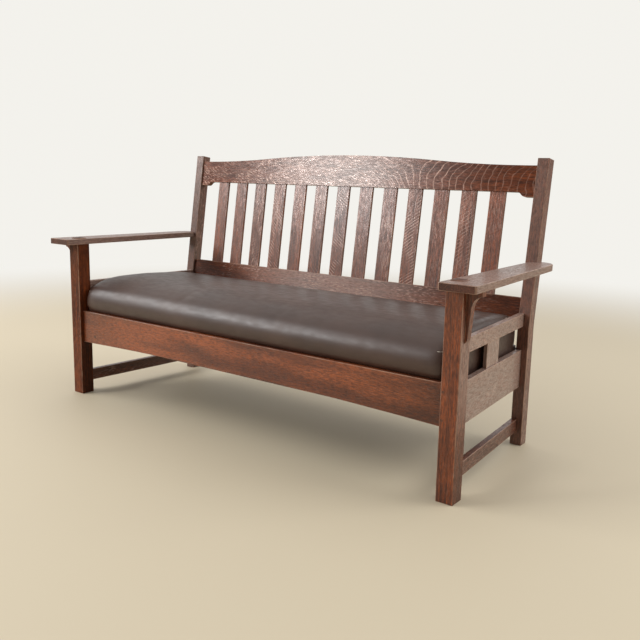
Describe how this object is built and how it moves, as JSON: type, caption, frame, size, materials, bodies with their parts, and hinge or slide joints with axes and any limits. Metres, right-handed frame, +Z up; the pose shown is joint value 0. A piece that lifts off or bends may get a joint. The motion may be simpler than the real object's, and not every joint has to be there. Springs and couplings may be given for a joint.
{
  "type": "mission settle",
  "caption": "Oak mission settle with a sloping slatted back, flat tapering arms on corbels and a loose leather-covered seat that lifts out.",
  "frame": {"origin": "on the floor, under the middle of the settle's bounding box", "axes": "X along the settle, +Y towards its back, +Z up; the front faces -Y"},
  "size_m": [1.8612, 0.7635, 0.99],
  "materials": {
    "oak": "fumed quarter-sawn oak, satin",
    "oak_end_grain": "dark oak end grain, satin",
    "plain_wood": "bare sawn hardwood",
    "leather": "smooth, soft sheen",
    "padding": "cotton felt over foam",
    "webbing": "woven jute",
    "burlap": "coarse weave",
    "dust_cloth": "thin weave",
    "steel": "zinc plated"
  },
  "bodies": {
    "frame": {"front_leg_left": "oak", "front_leg_right": "oak", "rear_leg_left": "oak", "rear_leg_right": "oak", "side_seat_rail_left": "oak", "side_seat_rail_right": "oak", "upper_side_rail_left": "oak", "upper_side_rail_right": "oak", "lower_stretcher_left": "oak", "lower_stretcher_right": "oak", "side_slat_left": "oak", "side_slat_right": "oak", "arm_left": "oak", "arm_right": "oak", "corbel_left": "oak", "corbel_right": "oak", "front_seat_rail": "oak", "rear_seat_rail": "oak", "crest_rail": "oak", "lower_back_rail": "oak", "back_slat_01": "oak", "back_slat_02": "oak", "back_slat_03": "oak", "back_slat_04": "oak", "back_slat_05": "oak", "back_slat_06": "oak", "back_slat_07": "oak", "back_slat_08": "oak", "back_slat_09": "oak", "back_slat_10": "oak", "back_slat_11": "oak", "back_slat_12": "oak", "back_slat_13": "oak", "joint_pegs": "oak_end_grain", "corbel_splines": "plain_wood", "seat_cleat_front": "plain_wood", "seat_cleat_rear": "plain_wood", "seat_cleat_left": "plain_wood", "seat_cleat_right": "plain_wood", "cleat_screws": "steel"},
    "seat": {"seat_frame_front": "plain_wood", "seat_frame_rear": "plain_wood", "seat_frame_left": "plain_wood", "seat_frame_right": "plain_wood", "seat_brace_1": "plain_wood", "seat_brace_2": "plain_wood", "seat_brace_3": "plain_wood", "seat_webbing_long": "webbing", "seat_webbing_cross": "webbing", "seat_burlap": "burlap", "seat_padding": "padding", "seat_leather": "leather", "seat_dust_cover": "dust_cloth", "cover_staples": "steel"}
  },
  "joints": [
    {"name": "seat_lift", "type": "slide", "parent": "frame", "child": "seat", "axis": [0, 0, 1], "range_m": [0, 0.4]}
  ]
}
